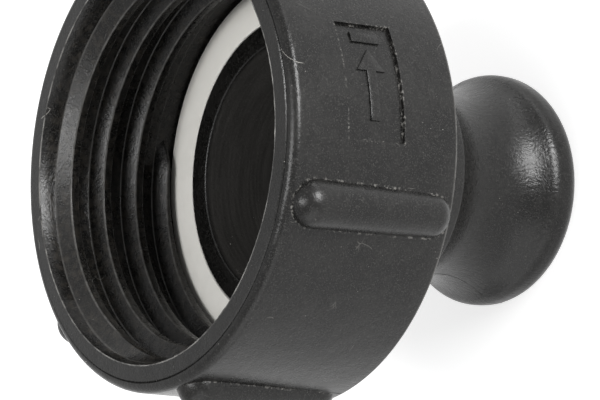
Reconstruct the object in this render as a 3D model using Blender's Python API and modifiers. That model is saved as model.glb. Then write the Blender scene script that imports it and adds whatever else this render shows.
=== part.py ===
"""A moulded plastic adapter from a 60 mm coarse tank thread to a 25 mm lever-coupling spigot.

The part stands on the end of its spigot, with the threaded mouth up and the axis on +Z.
Radii are measured from the axis, and depths down from the rim of the mouth, as on a drawing.
Lengths are in metres and angles in degrees.
"""

import math

import bmesh
import bpy

# Overall.
LENGTH = 0.0700
SEGMENTS = 72
FIT_GAP = 0.0003

# Rim of the mouth: a flat ring, a fine step left by the mould's insert, and a rounded shoulder.
RIM_INNER_RADIUS = 0.0306
RIM_OUTER_RADIUS = 0.03285
STEP_WIDTH = 0.00015
STEP_DEPTH = 0.00028
SHOULDER_RADIUS = 0.0014
LEAD_IN_DEPTH = 0.0018

# Socket wall, which widens from the mouth to the rear.
SOCKET_FRONT_RADIUS = 0.0345
SOCKET_REAR_RADIUS = 0.03605
SOCKET_DEPTH = 0.0274
REAR_EDGE_FILLET = 0.0003

# Thread of 60 mm nominal size: pitch 6 mm, right-hand, with a sloped flank towards the mouth.
PITCH = 0.0060
ROOT_RADIUS = 0.0299
CREST_RADIUS = 0.0275
CREST_WIDTH = 0.0014
FRONT_FLANK_DEG = 30.0
REAR_FLANK_DEG = 5.0
THREAD_BURIED = 0.00075
THREAD_START_DEPTH = 0.00227
THREAD_SWEEP_DEG = 1199.0
THREAD_FADE_IN_DEG = 50.0
THREAD_FADE_OUT_DEG = 12.0
THREAD_REAR_LIMIT = 0.0225

# Floor of the socket, with the recess of the gasket round a collar.
RECESS_DEPTH = 0.0267
COLLAR_DEPTH = 0.0238
COLLAR_OUTER_RADIUS = 0.02295
COLLAR_INNER_RADIUS = 0.0194
COLLAR_EDGE_FILLET = 0.00035

# Gasket.
GASKET_INNER_RADIUS = COLLAR_OUTER_RADIUS + FIT_GAP
GASKET_OUTER_RADIUS = 0.0294
GASKET_THICKNESS = 0.0025
GASKET_EDGE = 0.0002

# Funnel, a smooth cone from the collar to the bore.
BORE_RADIUS = 0.0120
BORE_DEPTH = 0.0447
BORE_START_FILLET = 0.0100
BORE_EDGE_FILLET = 0.0005

# Spigot: a plain neck, a round groove for the coupling's levers, and a round lip.
SPIGOT_RADIUS = 0.0190
NECK_ROOT_DEPTH = 0.0316
NECK_ROOT_FILLET = 0.0030
GROOVE_MIDDLE_DEPTH = 0.0545
GROOVE_BOTTOM_RADIUS = 0.0148
GROOVE_ARC_RADIUS = 0.0140
GROOVE_EDGE_FILLET = 0.0008
GROOVE_STEPS = 8
LIP_FILLET = 0.0034

# Six grip bars, half-round with ball ends.
BAR_COUNT = 6
BAR_RADIUS = 0.00335
BAR_AXIS_RADIUS = 0.0343
BAR_START_DEPTH = 0.00115
BAR_END_DEPTH = 0.0278
BAR_SIDES = 16
BAR_RINGS = 8

# Sunk panel between two bars, with its floor along the wall.
PANEL_CENTRE_DEG = 88.8
PANEL_WIDTH_DEG = 27.6
PANEL_START_DEPTH = 0.0090
PANEL_END_DEPTH = 0.01825
PANEL_SINK = 0.0005
PANEL_CUTTER_RADIUS = 0.0370
PANEL_STEPS = 6


def clear_scene():
    for obj in list(bpy.data.objects):
        bpy.data.objects.remove(obj, do_unlink=True)


def new_collection(name):
    collection = bpy.data.collections.new(name)
    bpy.context.scene.collection.children.link(collection)
    return collection


def plastic(name, colour, roughness):
    """A Principled material for moulded plastic or rubber."""
    material = bpy.data.materials.new(name)
    material.use_nodes = True
    shader = material.node_tree.nodes["Principled BSDF"]
    shader.inputs["Base Color"].default_value = (*colour, 1.0)
    shader.inputs["Roughness"].default_value = roughness
    return material


def add_object(name, mesh, collection):
    obj = bpy.data.objects.new(name, mesh)
    collection.objects.link(obj)
    return obj


def height(depth):
    """Height above the spigot's end of a point this far below the rim."""
    return LENGTH - depth


def rounded(corners):
    """Points (radius, depth) of a closed outline, from corners (radius, depth, fillet, steps)."""
    points = []
    count = len(corners)
    for index, (radius, depth, fillet, steps) in enumerate(corners):
        if fillet == 0.0:
            points.append((radius, depth))
            continue
        before = corners[index - 1]
        after = corners[(index + 1) % count]
        points.extend(corner_arc((radius, depth), before, after, fillet, steps))
    return points


def corner_arc(corner, before, after, fillet, steps):
    """Points along the arc that rounds one corner and touches both of its sides."""
    to_before = unit(before[0] - corner[0], before[1] - corner[1])
    to_after = unit(after[0] - corner[0], after[1] - corner[1])
    half_angle = math.acos(to_before[0] * to_after[0] + to_before[1] * to_after[1]) / 2
    setback = fillet / math.tan(half_angle)
    bisector = unit(to_before[0] + to_after[0], to_before[1] + to_after[1])
    reach = fillet / math.sin(half_angle)
    centre = (corner[0] + bisector[0] * reach, corner[1] + bisector[1] * reach)
    first = (corner[0] + to_before[0] * setback, corner[1] + to_before[1] * setback)
    last = (corner[0] + to_after[0] * setback, corner[1] + to_after[1] * setback)
    start = math.atan2(first[1] - centre[1], first[0] - centre[0])
    end = math.atan2(last[1] - centre[1], last[0] - centre[0])
    sweep = (end - start + math.pi) % (2 * math.pi) - math.pi
    return [
        (
            centre[0] + fillet * math.cos(start + sweep * step / steps),
            centre[1] + fillet * math.sin(start + sweep * step / steps),
        )
        for step in range(steps + 1)
    ]


def unit(across, along):
    length = math.hypot(across, along)
    return across / length, along / length


def wall_radius(depth):
    """Outer radius of the socket's wall at a depth."""
    share = (depth - STEP_WIDTH) / (SOCKET_DEPTH - STEP_WIDTH)
    return SOCKET_FRONT_RADIUS + (SOCKET_REAR_RADIUS - SOCKET_FRONT_RADIUS) * share


def arc_corners(middle, arc_radius, first, last, steps):
    """Sharp corners along an arc about middle (radius, depth), between two angles in radians."""
    corners = []
    for step in range(steps + 1):
        angle = first + (last - first) * step / steps
        place = (middle[0] + arc_radius * math.cos(angle), middle[1] + arc_radius * math.sin(angle))
        corners.append((*place, 0.0, 0))
    return corners


def groove_and_lip():
    """The groove from its front edge, and the lip's arc that it runs into smoothly."""
    groove_middle = (GROOVE_BOTTOM_RADIUS + GROOVE_ARC_RADIUS, GROOVE_MIDDLE_DEPTH)
    reach = math.acos((groove_middle[0] - SPIGOT_RADIUS) / GROOVE_ARC_RADIUS)
    front_edge = (SPIGOT_RADIUS, GROOVE_MIDDLE_DEPTH - GROOVE_ARC_RADIUS * math.sin(reach))
    apart = GROOVE_ARC_RADIUS + LIP_FILLET
    contact = math.acos((groove_middle[0] - SPIGOT_RADIUS + LIP_FILLET) / apart)
    lip_middle = (SPIGOT_RADIUS - LIP_FILLET, GROOVE_MIDDLE_DEPTH + apart * math.sin(contact))
    groove = arc_corners(
        groove_middle, GROOVE_ARC_RADIUS, math.pi + reach, math.pi - contact, GROOVE_STEPS
    )
    lip = arc_corners(lip_middle, LIP_FILLET, -contact, 0.0, 2)
    return [(*front_edge, GROOVE_EDGE_FILLET, 2), *groove[1:], *lip[1:]]


def body_outline():
    """The moulding's section: across the rim, down the outside, and back up the bore and the socket."""
    step_middle = RIM_OUTER_RADIUS + STEP_WIDTH
    rim = [
        (RIM_INNER_RADIUS, 0.0, 0.0, 0),
        (RIM_OUTER_RADIUS, 0.0, 0.0, 0),
        (step_middle, STEP_DEPTH, 0.0, 0),
        (step_middle + STEP_WIDTH, STEP_WIDTH, 0.0, 0),
        (SOCKET_FRONT_RADIUS, STEP_WIDTH, SHOULDER_RADIUS, 4),
    ]
    outside = [
        (SOCKET_REAR_RADIUS, SOCKET_DEPTH, REAR_EDGE_FILLET, 2),
        (SPIGOT_RADIUS, NECK_ROOT_DEPTH, NECK_ROOT_FILLET, 4),
        *groove_and_lip(),
        (SPIGOT_RADIUS, LENGTH, LIP_FILLET, 5),
    ]
    inside = [
        (BORE_RADIUS, LENGTH, BORE_EDGE_FILLET, 1),
        (BORE_RADIUS, BORE_DEPTH, BORE_START_FILLET, 3),
        (COLLAR_INNER_RADIUS, COLLAR_DEPTH, COLLAR_EDGE_FILLET, 2),
        (COLLAR_OUTER_RADIUS, COLLAR_DEPTH, 0.0, 0),
        (COLLAR_OUTER_RADIUS, RECESS_DEPTH, 0.0, 0),
        (ROOT_RADIUS, RECESS_DEPTH, 0.0, 0),
        (ROOT_RADIUS, LEAD_IN_DEPTH, 0.0, 0),
    ]
    return rounded(rim + outside + inside)


def turned(name, outline, collection):
    """A solid of revolution about Z, from a closed outline of (radius, depth)."""
    shape = bmesh.new()
    points = [shape.verts.new((radius, 0.0, height(depth))) for radius, depth in outline]
    for first, second in zip(points, points[1:] + points[:1]):
        shape.edges.new((first, second))
    mesh = bpy.data.meshes.new(name)
    shape.to_mesh(mesh)
    shape.free()
    obj = add_object(name, mesh, collection)
    screw = obj.modifiers.new("turn", "SCREW")
    screw.axis = "Z"
    screw.steps = screw.render_steps = SEGMENTS
    screw.use_merge_vertices = True
    screw.merge_threshold = 1e-6
    screw.use_smooth_shade = True
    return obj


def thread_section(turned_deg):
    """Four corners (radius, depth) of the ridge after this much turning.

    The ridge is low where it fades in and out, and cut off square in front of the gasket.
    """
    crest_depth = THREAD_START_DEPTH + PITCH * turned_deg / 360
    fade_in = turned_deg / THREAD_FADE_IN_DEG
    fade_out = (THREAD_SWEEP_DEG - turned_deg) / THREAD_FADE_OUT_DEG
    rise = min(1.0, fade_in, fade_out)
    base = ROOT_RADIUS + THREAD_BURIED
    buried_crest = ROOT_RADIUS + THREAD_BURIED / 2
    crest = buried_crest + (CREST_RADIUS - buried_crest) * math.sin(rise * math.pi / 2)
    front = crest_depth - (base - crest) * math.tan(math.radians(FRONT_FLANK_DEG))
    rear = crest_depth + CREST_WIDTH + (base - crest) * math.tan(math.radians(REAR_FLANK_DEG))
    return [
        (base, front),
        (crest, crest_depth),
        (crest, min(crest_depth + CREST_WIDTH, THREAD_REAR_LIMIT)),
        (base, min(rear, THREAD_REAR_LIMIT)),
    ]


def thread_ridge(collection):
    """The thread's ridge, a loft of its section along a right-hand helix, closed at both ends."""
    steps = round(THREAD_SWEEP_DEG * SEGMENTS / 360)
    shape = bmesh.new()
    rings = []
    for step in range(steps + 1):
        turned_deg = THREAD_SWEEP_DEG * step / steps
        angle = math.radians(-turned_deg)
        rings.append(
            [
                shape.verts.new((radius * math.cos(angle), radius * math.sin(angle), height(depth)))
                for radius, depth in thread_section(turned_deg)
            ]
        )
    for ring, following in zip(rings, rings[1:]):
        for side in range(4):
            after = (side + 1) % 4
            shape.faces.new((ring[side], ring[after], following[after], following[side]))
    shape.faces.new(rings[0])
    shape.faces.new(rings[-1])
    bmesh.ops.recalc_face_normals(shape, faces=shape.faces)
    mesh = bpy.data.meshes.new("thread_ridge")
    shape.to_mesh(mesh)
    shape.free()
    return add_object("thread_ridge", mesh, collection)


def grip_bar_mesh():
    """A sphere whose halves are drawn apart along Z into a bar with ball ends."""
    half_run = (BAR_END_DEPTH - BAR_START_DEPTH) / 2 - BAR_RADIUS
    shape = bmesh.new()
    bmesh.ops.create_uvsphere(shape, u_segments=BAR_SIDES, v_segments=BAR_RINGS, radius=BAR_RADIUS)
    equator = [edge for edge in shape.edges if all(abs(vert.co.z) < 1e-7 for vert in edge.verts)]
    bmesh.ops.split_edges(shape, edges=equator)
    for face in shape.faces:
        face.tag = face.calc_center_median().z > 0
    for vert in shape.verts:
        upper = any(face.tag for face in vert.link_faces)
        vert.co.z += half_run if upper else -half_run
    rims = [edge for edge in shape.edges if edge.is_boundary]
    bmesh.ops.bridge_loops(shape, edges=rims)
    bmesh.ops.recalc_face_normals(shape, faces=shape.faces)
    mesh = bpy.data.meshes.new("grip_bar")
    shape.to_mesh(mesh)
    shape.free()
    return mesh


def grip_bars(collection):
    """Six bars, spaced evenly round the socket."""
    mesh = grip_bar_mesh()
    middle = height((BAR_START_DEPTH + BAR_END_DEPTH) / 2)
    bars = []
    for index in range(BAR_COUNT):
        angle = 2 * math.pi * index / BAR_COUNT
        bar = add_object(f"grip_bar_{index}", mesh, collection)
        bar.location = (BAR_AXIS_RADIUS * math.cos(angle), BAR_AXIS_RADIUS * math.sin(angle), middle)
        bar.rotation_euler = (0.0, 0.0, angle)
        bars.append(bar)
    return bars


def panel_cutter(collection):
    """A curved slab that sinks the panel into the socket's wall."""
    start = math.radians(PANEL_CENTRE_DEG - PANEL_WIDTH_DEG / 2)
    shape = bmesh.new()
    corners = (
        (wall_radius(PANEL_START_DEPTH) - PANEL_SINK, PANEL_START_DEPTH),
        (PANEL_CUTTER_RADIUS, PANEL_START_DEPTH),
        (PANEL_CUTTER_RADIUS, PANEL_END_DEPTH),
        (wall_radius(PANEL_END_DEPTH) - PANEL_SINK, PANEL_END_DEPTH),
    )
    section = shape.faces.new(
        [
            shape.verts.new((radius * math.cos(start), radius * math.sin(start), height(depth)))
            for radius, depth in corners
        ]
    )
    bmesh.ops.spin(
        shape,
        geom=[section, *section.edges, *section.verts],
        axis=(0.0, 0.0, 1.0),
        cent=(0.0, 0.0, 0.0),
        angle=math.radians(PANEL_WIDTH_DEG),
        steps=PANEL_STEPS,
    )
    bmesh.ops.recalc_face_normals(shape, faces=shape.faces)
    mesh = bpy.data.meshes.new("panel_cutter")
    shape.to_mesh(mesh)
    shape.free()
    return add_object("panel_cutter", mesh, collection)


def combine(target, other, operation):
    """Joins or cuts with another object, which is then only a guide."""
    boolean = target.modifiers.new(f"{operation.lower()}_{other.name}", "BOOLEAN")
    boolean.operation = operation
    boolean.object = other
    boolean.solver = "EXACT"
    other.hide_render = True
    other.display_type = "WIRE"


def adapter_body(parts, guides):
    body = turned("adapter_body", body_outline(), parts)
    combine(body, thread_ridge(guides), "UNION")
    for bar in grip_bars(guides):
        combine(body, bar, "UNION")
    combine(body, panel_cutter(guides), "DIFFERENCE")
    body.data.materials.append(plastic("black_polypropylene", (0.016, 0.016, 0.017), 0.42))
    return body


def flat_gasket(parts):
    back = RECESS_DEPTH - FIT_GAP
    front = back - GASKET_THICKNESS
    outline = rounded(
        [
            (GASKET_INNER_RADIUS, front, GASKET_EDGE, 1),
            (GASKET_OUTER_RADIUS, front, GASKET_EDGE, 1),
            (GASKET_OUTER_RADIUS, back, GASKET_EDGE, 1),
            (GASKET_INNER_RADIUS, back, GASKET_EDGE, 1),
        ]
    )
    gasket = turned("flat_gasket", outline, parts)
    gasket.data.materials.append(plastic("white_seal", (0.62, 0.60, 0.56), 0.55))
    return gasket


def main():
    clear_scene()
    parts = new_collection("ibc_tap_adapter")
    guides = new_collection("guides")
    adapter_body(parts, guides)
    flat_gasket(parts)


main()
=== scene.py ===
"""The dressed model of a moulded tank adapter, in its studio.

The part stands on the end of its spigot, with the threaded mouth up and its axis on +Z. Radii are
measured from the axis and depths down from the rim of the mouth, in millimetres, as on a drawing.
Angles go round the axis from +X, where the mould's parting line runs over one of the grip bars.
"""

import logging
import math
from dataclasses import dataclass, field
from enum import Enum
from typing import Callable

import bmesh
import bpy
from bmesh.types import BMesh
from bpy.types import Material, NodeSocket, Object
from mathutils import Matrix, Quaternion, Vector, noise
from mathutils.bvhtree import BVHTree


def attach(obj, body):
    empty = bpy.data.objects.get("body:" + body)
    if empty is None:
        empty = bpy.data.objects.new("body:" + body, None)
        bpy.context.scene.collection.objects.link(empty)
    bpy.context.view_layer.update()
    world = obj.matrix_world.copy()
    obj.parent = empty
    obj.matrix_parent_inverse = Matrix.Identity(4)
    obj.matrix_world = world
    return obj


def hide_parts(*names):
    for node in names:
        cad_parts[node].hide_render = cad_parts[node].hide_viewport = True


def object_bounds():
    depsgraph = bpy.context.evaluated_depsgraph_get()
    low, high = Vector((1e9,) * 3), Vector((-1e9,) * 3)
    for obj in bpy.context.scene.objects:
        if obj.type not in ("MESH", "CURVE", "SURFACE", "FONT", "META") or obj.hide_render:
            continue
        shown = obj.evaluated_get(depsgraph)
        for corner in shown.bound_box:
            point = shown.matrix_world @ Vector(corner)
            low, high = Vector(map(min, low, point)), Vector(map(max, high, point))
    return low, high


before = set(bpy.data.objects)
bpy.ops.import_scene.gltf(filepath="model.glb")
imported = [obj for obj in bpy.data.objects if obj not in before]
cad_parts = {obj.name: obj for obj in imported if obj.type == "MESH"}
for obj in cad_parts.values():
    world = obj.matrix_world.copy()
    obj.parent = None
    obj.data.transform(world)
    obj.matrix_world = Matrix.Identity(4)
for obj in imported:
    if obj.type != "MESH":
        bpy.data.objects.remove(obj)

CAD_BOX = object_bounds()
MM = 0.001
LENGTH = round(CAD_BOX[1].z / MM, 3)

log = logging.getLogger("adapter")


class Slot(Enum):
    """The record's material slots."""

    BODY = "black_polypropylene"
    SEAL = "white_seal"


@dataclass(frozen=True)
class Corner:
    """A corner of a section: its radius and depth, and how far and how finely it is rounded."""

    radius: float
    depth: float
    fillet: float = 0.0
    steps: int = 6


def height(depth: float) -> float:
    """Height above the floor of a point this far below the rim."""
    return LENGTH - depth


def corner_points(corner: Corner, before: Corner, after: Corner) -> list[tuple[float, float]]:
    """Points (radius, depth) along the arc that rounds one corner.

    Args:
        corner: The corner to round.
        before: The corner that the outline comes from.
        after: The corner that it goes on to.

    Returns:
        The corner itself where it is sharp, and otherwise the points of its arc.
    """
    place = Vector((corner.radius, corner.depth))
    if corner.fillet == 0.0:
        return [tuple(place)]
    back = (Vector((before.radius, before.depth)) - place).normalized()
    ahead = (Vector((after.radius, after.depth)) - place).normalized()
    half_angle = back.angle(ahead) / 2
    centre = place + (back + ahead).normalized() * corner.fillet / math.sin(half_angle)
    first = place + back * corner.fillet / math.tan(half_angle) - centre
    last = place + ahead * corner.fillet / math.tan(half_angle) - centre
    start = math.atan2(first.y, first.x)
    sweep = (math.atan2(last.y, last.x) - start + math.pi) % (2 * math.pi) - math.pi
    angles = [start + sweep * step / corner.steps for step in range(corner.steps + 1)]
    return [
        (centre.x + corner.fillet * math.cos(angle), centre.y + corner.fillet * math.sin(angle))
        for angle in angles
    ]


def arc_corners(centre: Corner, radius: float, angles: tuple[float, float], steps: int) -> list[Corner]:
    """Sharp corners along an arc of a section.

    Args:
        centre: The arc's centre.
        radius: Its radius.
        angles: Its first and last angle, in radians, from the direction away from the axis.
        steps: How many straight steps it takes.

    Returns:
        The corners, from first to last.
    """
    first, last = angles
    turns = [first + (last - first) * step / steps for step in range(steps + 1)]
    return [
        Corner(centre.radius + radius * math.cos(turn), centre.depth + radius * math.sin(turn))
        for turn in turns
    ]


def section_points(corners: list[Corner]) -> list[tuple[float, float]]:
    """All points of a closed section whose corners are rounded."""
    points = []
    for index, corner in enumerate(corners):
        after = corners[(index + 1) % len(corners)]
        points.extend(corner_points(corner, corners[index - 1], after))
    return points


def draw_section(shape: BMesh, points: list[tuple[float, float]], turn: float) -> list:
    """Draws a closed section in the half-plane at one angle.

    Args:
        shape: The mesh that takes the section.
        points: Its points, as radius and depth.
        turn: The half-plane's angle about the axis, in radians.

    Returns:
        The section's vertices and edges, ready to be spun.
    """
    verts = [
        shape.verts.new((radius * math.cos(turn), radius * math.sin(turn), height(depth)))
        for radius, depth in points
    ]
    edges = [shape.edges.new(pair) for pair in zip(verts, verts[1:] + verts[:1])]
    return verts + edges


def sweep(shape: BMesh, section: list, angle: float, steps: int, **options: object) -> list:
    """Sweeps a section round the axis, by default the way azimuths grow, and gives its last copy."""
    options.setdefault("axis", (0.0, 0.0, 1.0))
    centre = (0.0, 0.0, 0.0)
    swept = bmesh.ops.spin(shape, geom=section, cent=centre, angle=angle, steps=steps, **options)
    return swept["geom_last"]


def cap_ends(shape: BMesh, *ends: list) -> None:
    """Closes the open ends of a swept section."""
    for end in ends:
        edges = [item for item in end if isinstance(item, bmesh.types.BMEdge)]
        bmesh.ops.contextual_create(shape, geom=edges)


def turned(corners: list[Corner], segments: int) -> BMesh:
    """A closed solid of revolution about the axis, from a section that stays clear of the axis."""
    shape = bmesh.new()
    section = draw_section(shape, section_points(corners), 0.0)
    sweep(shape, section, 2 * math.pi, segments, use_merge=True)
    bmesh.ops.remove_doubles(shape, verts=shape.verts, dist=1e-5)
    bmesh.ops.recalc_face_normals(shape, faces=shape.faces)
    return shape


def to_object(shape: BMesh, name: str) -> Object:
    """Puts a finished shape into an object at the origin, and frees the shape."""
    mesh = bpy.data.meshes.new(name)
    shape.to_mesh(mesh)
    shape.free()
    obj = bpy.data.objects.new(name, mesh)
    bpy.context.scene.collection.objects.link(obj)
    return obj


def combine(target: Object, other: Object, operation: str) -> None:
    """Joins another object to the target or cuts it out of it, and removes the other object.

    Args:
        target: The object that is changed.
        other: A closed object that is used up.
        operation: UNION or DIFFERENCE.
    """
    boolean = target.modifiers.new("combine", "BOOLEAN")
    boolean.operation = operation
    boolean.solver = "EXACT"
    boolean.object = other
    evaluated = target.evaluated_get(bpy.context.evaluated_depsgraph_get())
    mesh = bpy.data.meshes.new_from_object(evaluated)
    target.modifiers.clear()
    old = target.data
    mesh.name = old.name
    target.data = mesh
    bpy.data.meshes.remove(old)
    used = other.data
    bpy.data.objects.remove(other)
    bpy.data.meshes.remove(used)


def finish_mesh(obj: Object, sharp_deg: float) -> None:
    """Brings a mesh from millimetres to metres and shades it smooth up to an angle."""
    obj.data.transform(Matrix.Scale(MM, 4))
    obj.data.shade_smooth()
    obj.data.set_sharp_from_angle(angle=math.radians(sharp_deg))


@dataclass
class LeadIn:
    """The cone at the mouth that guides the male thread in."""

    rim_radius: float = 30.6
    root_radius: float = 29.9
    depth: float = 1.8

    def widening(self, depth: float) -> float:
        """How much wider than the thread's root the mouth is at a depth."""
        share = max(0.0, 1 - depth / self.depth)
        return (self.rim_radius - self.root_radius) * share


@dataclass
class Thread:
    """The female thread: a right-hand ridge of 6 mm pitch that fades in at the mouth.

    It ends in front of the gasket, where its rear is cut off square.
    """

    pitch: float = 6.0
    root: float = 29.9
    crest: float = 27.5
    crest_width: float = 1.4
    front_flank_deg: float = 30.0
    rear_flank_deg: float = 5.0
    crest_round: float = 0.45
    rear_round: float = 0.15
    root_round: float = 0.45
    foot_run: float = 0.5
    foot_sunk: float = 0.08
    base: float = 30.7
    start_depth: float = 2.27
    sweep_deg: float = 1199.0
    fade_in_deg: float = 50.0
    fade_out_deg: float = 12.0
    rear_limit: float = 22.5

    def section(self) -> list[Corner]:
        """The ridge's section, with depths counted from the crest's front edge."""
        rise = self.root - self.crest
        front = -rise * math.tan(math.radians(self.front_flank_deg))
        rear = self.crest_width + rise * math.tan(math.radians(self.rear_flank_deg))
        sunk = self.root + self.foot_sunk
        return [
            Corner(self.base, front - self.foot_run),
            Corner(sunk, front - self.foot_run),
            Corner(self.root, front, self.root_round, 4),
            Corner(self.crest, 0.0, self.crest_round, 6),
            Corner(self.crest, self.crest_width, self.rear_round, 3),
            Corner(self.root, rear, self.root_round, 4),
            Corner(sunk, rear + self.foot_run),
            Corner(self.base, rear + self.foot_run),
        ]

    def build(self, segments: int, lead_in: LeadIn) -> BMesh:
        """Winds the ridge along its helix and fades its two ends into the wall.

        Args:
            segments: Steps to a full turn.
            lead_in: The cone at the mouth, which the ridge's foot follows.

        Returns:
            The ridge, closed at both ends.
        """
        shape = bmesh.new()
        points = section_points(self.section())
        placed = [(radius, depth + self.start_depth) for radius, depth in points]
        section = draw_section(shape, placed, 0.0)
        steps = round(segments * self.sweep_deg / 360)
        fall = (0.0, 0.0, -self.pitch * self.sweep_deg / 360 / steps)
        turn = math.radians(self.sweep_deg)
        last = sweep(shape, section, turn, steps, axis=(0.0, 0.0, -1.0), dvec=fall)
        cap_ends(shape, section, last)
        for vert in shape.verts:
            self.settle(vert, lead_in)
        bmesh.ops.recalc_face_normals(shape, faces=shape.faces)
        return shape

    def turned_deg(self, vert: bmesh.types.BMVert) -> float:
        """How far along the helix a vertex of the ridge lies, from its place alone."""
        turn = -math.degrees(math.atan2(vert.co.y, vert.co.x)) % 360
        depth = LENGTH - vert.co.z
        turns = (depth - self.crest_width / 2 - self.start_depth) / self.pitch - turn / 360
        return turn + 360 * round(turns)

    def settle(self, vert: bmesh.types.BMVert, lead_in: LeadIn) -> None:
        """Sinks a vertex where the ridge fades, and keeps it on the lead-in and in front of the gasket."""
        turned_deg = self.turned_deg(vert)
        fade_in = turned_deg / self.fade_in_deg
        fade_out = (self.sweep_deg - turned_deg) / self.fade_out_deg
        rise = math.sin(max(0.0, min(1.0, fade_in, fade_out)) * math.pi / 2)
        radius = math.hypot(vert.co.x, vert.co.y)
        azimuth = math.atan2(vert.co.y, vert.co.x)
        depth = LENGTH - vert.co.z
        if radius < self.base - 0.01:
            footing = min(1.0, (radius - self.crest) / (self.root - self.crest))
            radius += lead_in.widening(depth) * footing
            sunk = self.base - 0.1
            radius = min(sunk, sunk - (sunk - radius) * rise)
        depth = min(depth, self.rear_limit)
        vert.co = Vector((radius * math.cos(azimuth), radius * math.sin(azimuth), height(depth)))


@dataclass
class GripBars:
    """Six half-round bars with ball ends."""

    count: int = 6
    radius: float = 3.35
    axis_radius: float = 34.3
    start: float = 1.15
    end: float = 27.8
    sides: int = 48
    rings: int = 24

    def one(self, azimuth: float) -> BMesh:
        """One bar: a sphere whose halves are drawn apart along the axis."""
        half_run = (self.end - self.start) / 2 - self.radius
        shape = bmesh.new()
        bmesh.ops.create_uvsphere(shape, u_segments=self.sides, v_segments=self.rings, radius=self.radius)
        equator = [edge for edge in shape.edges if all(abs(vert.co.z) < 1e-5 for vert in edge.verts)]
        bmesh.ops.split_edges(shape, edges=equator)
        upper = {vert for face in shape.faces if face.calc_center_median().z > 0 for vert in face.verts}
        lower = set(shape.verts) - upper
        bmesh.ops.translate(shape, verts=list(upper), vec=(0.0, 0.0, half_run))
        bmesh.ops.translate(shape, verts=list(lower), vec=(0.0, 0.0, -half_run))
        rims = [edge for edge in shape.edges if edge.is_boundary]
        bmesh.ops.bridge_loops(shape, edges=rims)
        bmesh.ops.recalc_face_normals(shape, faces=shape.faces)
        middle = Vector((self.axis_radius, 0.0, height((self.start + self.end) / 2)))
        bmesh.ops.translate(shape, verts=shape.verts, vec=middle)
        turn = Matrix.Rotation(azimuth, 3, "Z")
        bmesh.ops.rotate(shape, verts=shape.verts, cent=(0.0, 0.0, 0.0), matrix=turn)
        return shape

    def build(self) -> list[BMesh]:
        """All bars, evenly spaced from +X."""
        return [self.one(2 * math.pi * index / self.count) for index in range(self.count)]


@dataclass
class SunkPanel:
    """A shallow rectangular field between two bars."""

    centre_deg: float = 88.8
    width_deg: float = 27.6
    start: float = 9.0
    end: float = 18.25
    sink: float = 0.5
    outside: float = 37.0
    steps: int = 24

    def cutter(self, wall_radius: Callable[[float], float]) -> BMesh:
        """The curved slab that sinks the field, with its floor along the wall.

        Args:
            wall_radius: Gives the wall's radius at a depth.

        Returns:
            The closed slab.
        """
        corners = [
            (wall_radius(self.start) - self.sink, self.start),
            (self.outside, self.start),
            (self.outside, self.end),
            (wall_radius(self.end) - self.sink, self.end),
        ]
        shape = bmesh.new()
        section = draw_section(shape, corners, math.radians(self.centre_deg - self.width_deg / 2))
        cap_ends(shape, section, sweep(shape, section, math.radians(self.width_deg), self.steps))
        bmesh.ops.recalc_face_normals(shape, faces=shape.faces)
        return shape


@dataclass
class RimFlash:
    """The ragged fin of plastic that the mould's core leaves along the mouth's inner edge."""

    edge_radius: float = 30.6
    foot: float = 0.14
    proud: float = 0.05
    ragged: float = 0.13
    nick_deg: float = 1.2
    nick_width_deg: float = 0.5
    segments: int = 900
    sharp_deg: float = 60.0

    def raggedness(self, vert: bmesh.types.BMVert) -> float:
        """How far the fin stands out at a vertex, from none to 1."""
        around = Vector((vert.co.x, vert.co.y, 0.0)).normalized()
        coarse = 0.5 + 0.5 * noise.noise(around * 14)
        fine = 0.5 + 0.5 * noise.noise(around * 75)
        azimuth = math.degrees(math.atan2(vert.co.y, vert.co.x))
        nick = min(1.0, abs(azimuth - self.nick_deg) / self.nick_width_deg)
        return max(0.0, min(1.0, 0.55 * coarse + 0.75 * fine - 0.2)) * nick

    def build(self) -> Object:
        """Turns the fin's small section and tears its free edge."""
        inner = self.edge_radius
        corners = [
            Corner(inner + self.foot, 0.03),
            Corner(inner + 0.04, -0.02),
            Corner(inner - 0.02, 0.02),
            Corner(inner - 0.05, self.foot),
            Corner(inner + self.foot, self.foot + 0.05),
        ]
        shape = turned(corners, self.segments)
        for vert in shape.verts:
            radius = math.hypot(vert.co.x, vert.co.y)
            depth = LENGTH - vert.co.z
            share = self.raggedness(vert)
            if depth < 0.0:
                vert.co.z += self.proud * share
            elif radius < inner - 0.01 and depth < self.foot / 2:
                inward = 1 - self.ragged * share / radius
                vert.co.x *= inward
                vert.co.y *= inward
                vert.co.z += self.proud * share
        fin = to_object(shape, "rim_flash")
        finish_mesh(fin, self.sharp_deg)
        return fin


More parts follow.
